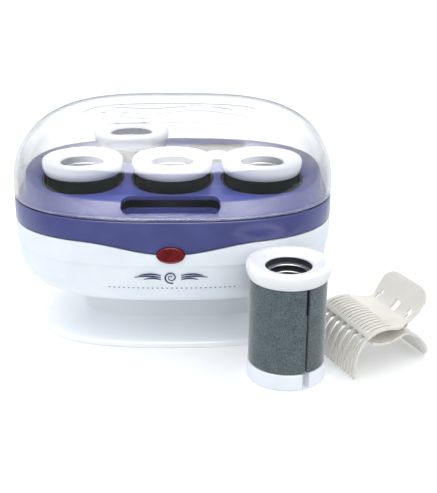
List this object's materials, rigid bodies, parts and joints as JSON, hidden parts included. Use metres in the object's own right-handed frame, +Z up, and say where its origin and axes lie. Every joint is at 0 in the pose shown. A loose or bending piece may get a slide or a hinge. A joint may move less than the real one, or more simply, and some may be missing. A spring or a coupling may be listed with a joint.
{
  "type": "heated hair roller set",
  "caption": "Heated hair roller set: white oval case on a pedestal foot, coloured tray with heated wells, clear hinged lid, flocked rollers and a comb-jaw clip.",
  "frame": {"origin": "middle of the foot's flat underside, on the table", "axes": "+X to the case's right, -Y out of its front with the indicator lens, +Z up"},
  "size_m": [0.2502, 0.1857, 0.1393],
  "materials": {
    "white_plastic": "satin moulded, faint cool tint",
    "purple_plastic": "satin moulded blue violet",
    "clear_plastic": "clear polished",
    "black_plastic": "dark heat-resistant moulding",
    "flock": "short grey flocking",
    "aluminium": "drawn, satin",
    "steel": "plated",
    "rubber": "matt",
    "red_lens": "faceted translucent red",
    "lamp_glass": "clear, warm",
    "cream_plastic": "satin moulded, off-white"
  },
  "bodies": {
    "case": {"foot": "white_plastic", "foot_pad_1": "rubber", "foot_pad_2": "rubber", "foot_pad_3": "rubber", "foot_pad_4": "rubber", "base_screw_1": "steel", "base_screw_2": "steel", "base_screw_3": "steel", "base_screw_4": "steel", "base_housing": "white_plastic", "cord_gland": "black_plastic", "top_tray": "purple_plastic", "well_liner_front_left": "black_plastic", "heat_post_front_left": "aluminium", "well_liner_front_centre": "black_plastic", "heat_post_front_centre": "aluminium", "well_liner_front_right": "black_plastic", "heat_post_front_right": "aluminium", "well_liner_back_left": "black_plastic", "heat_post_back_left": "aluminium", "well_liner_back_right": "black_plastic", "heat_post_back_right": "aluminium", "heater_plate": "aluminium", "heating_element": "steel", "thermostat": "black_plastic", "thermal_fuse": "steel", "indicator_lens": "red_lens", "indicator_lamp": "lamp_glass", "hinge_pin_left": "steel", "hinge_pin_right": "steel"},
    "lid": {"lid": "clear_plastic"},
    "roller_front_left": {"roller_front_left_ring": "white_plastic", "roller_front_left_sleeve": "flock", "roller_front_left_core": "aluminium", "roller_front_left_base": "white_plastic"},
    "roller_front_centre": {"roller_front_centre_ring": "white_plastic", "roller_front_centre_sleeve": "flock", "roller_front_centre_core": "aluminium", "roller_front_centre_base": "white_plastic"},
    "roller_front_right": {"roller_front_right_ring": "white_plastic", "roller_front_right_sleeve": "flock", "roller_front_right_core": "aluminium", "roller_front_right_base": "white_plastic"},
    "roller_back_left": {"roller_back_left_ring": "white_plastic", "roller_back_left_sleeve": "flock", "roller_back_left_core": "aluminium", "roller_back_left_base": "white_plastic"},
    "roller_loose": {"roller_loose_ring": "white_plastic", "roller_loose_sleeve": "flock", "roller_loose_core": "aluminium", "roller_loose_base": "white_plastic"},
    "clip": {"clip_lower_jaw": "cream_plastic", "clip_pin": "steel", "clip_spring": "steel"},
    "clip_jaw": {"clip_upper_jaw": "cream_plastic"}
  },
  "joints": [
    {"name": "lid_hinge", "type": "hinge", "parent": "case", "child": "lid", "pos_m": [0, 0.073, 0.0906], "axis": [-1, 0, 0], "range_deg": [0, 100]},
    {"name": "roller_front_left_lift", "type": "slide", "parent": "case", "child": "roller_front_left", "axis": [0, 0, 1], "range_m": [0, 0.006]},
    {"name": "roller_front_centre_lift", "type": "slide", "parent": "case", "child": "roller_front_centre", "axis": [0, 0, 1], "range_m": [0, 0.015]},
    {"name": "roller_front_right_lift", "type": "slide", "parent": "case", "child": "roller_front_right", "axis": [0, 0, 1], "range_m": [0, 0.006]},
    {"name": "roller_back_left_lift", "type": "slide", "parent": "case", "child": "roller_back_left", "axis": [0, 0, 1], "range_m": [0, 0.009]},
    {"name": "roller_loose_lift", "type": "slide", "parent": "case", "child": "roller_loose", "axis": [0, 0, 1], "range_m": [0, 0.12]},
    {"name": "clip_lift", "type": "slide", "parent": "case", "child": "clip", "axis": [0, 0, 1], "range_m": [0, 0.1]},
    {"name": "clip_hinge", "type": "hinge", "parent": "clip", "child": "clip_jaw", "pos_m": [0.13007, -0.05686, 0.0236], "axis": [-0.4003, 0.9164, 0], "range_deg": [0, 30], "stiffness_Nm_per_rad": 0.15, "springref_deg": -20.05}
  ]
}
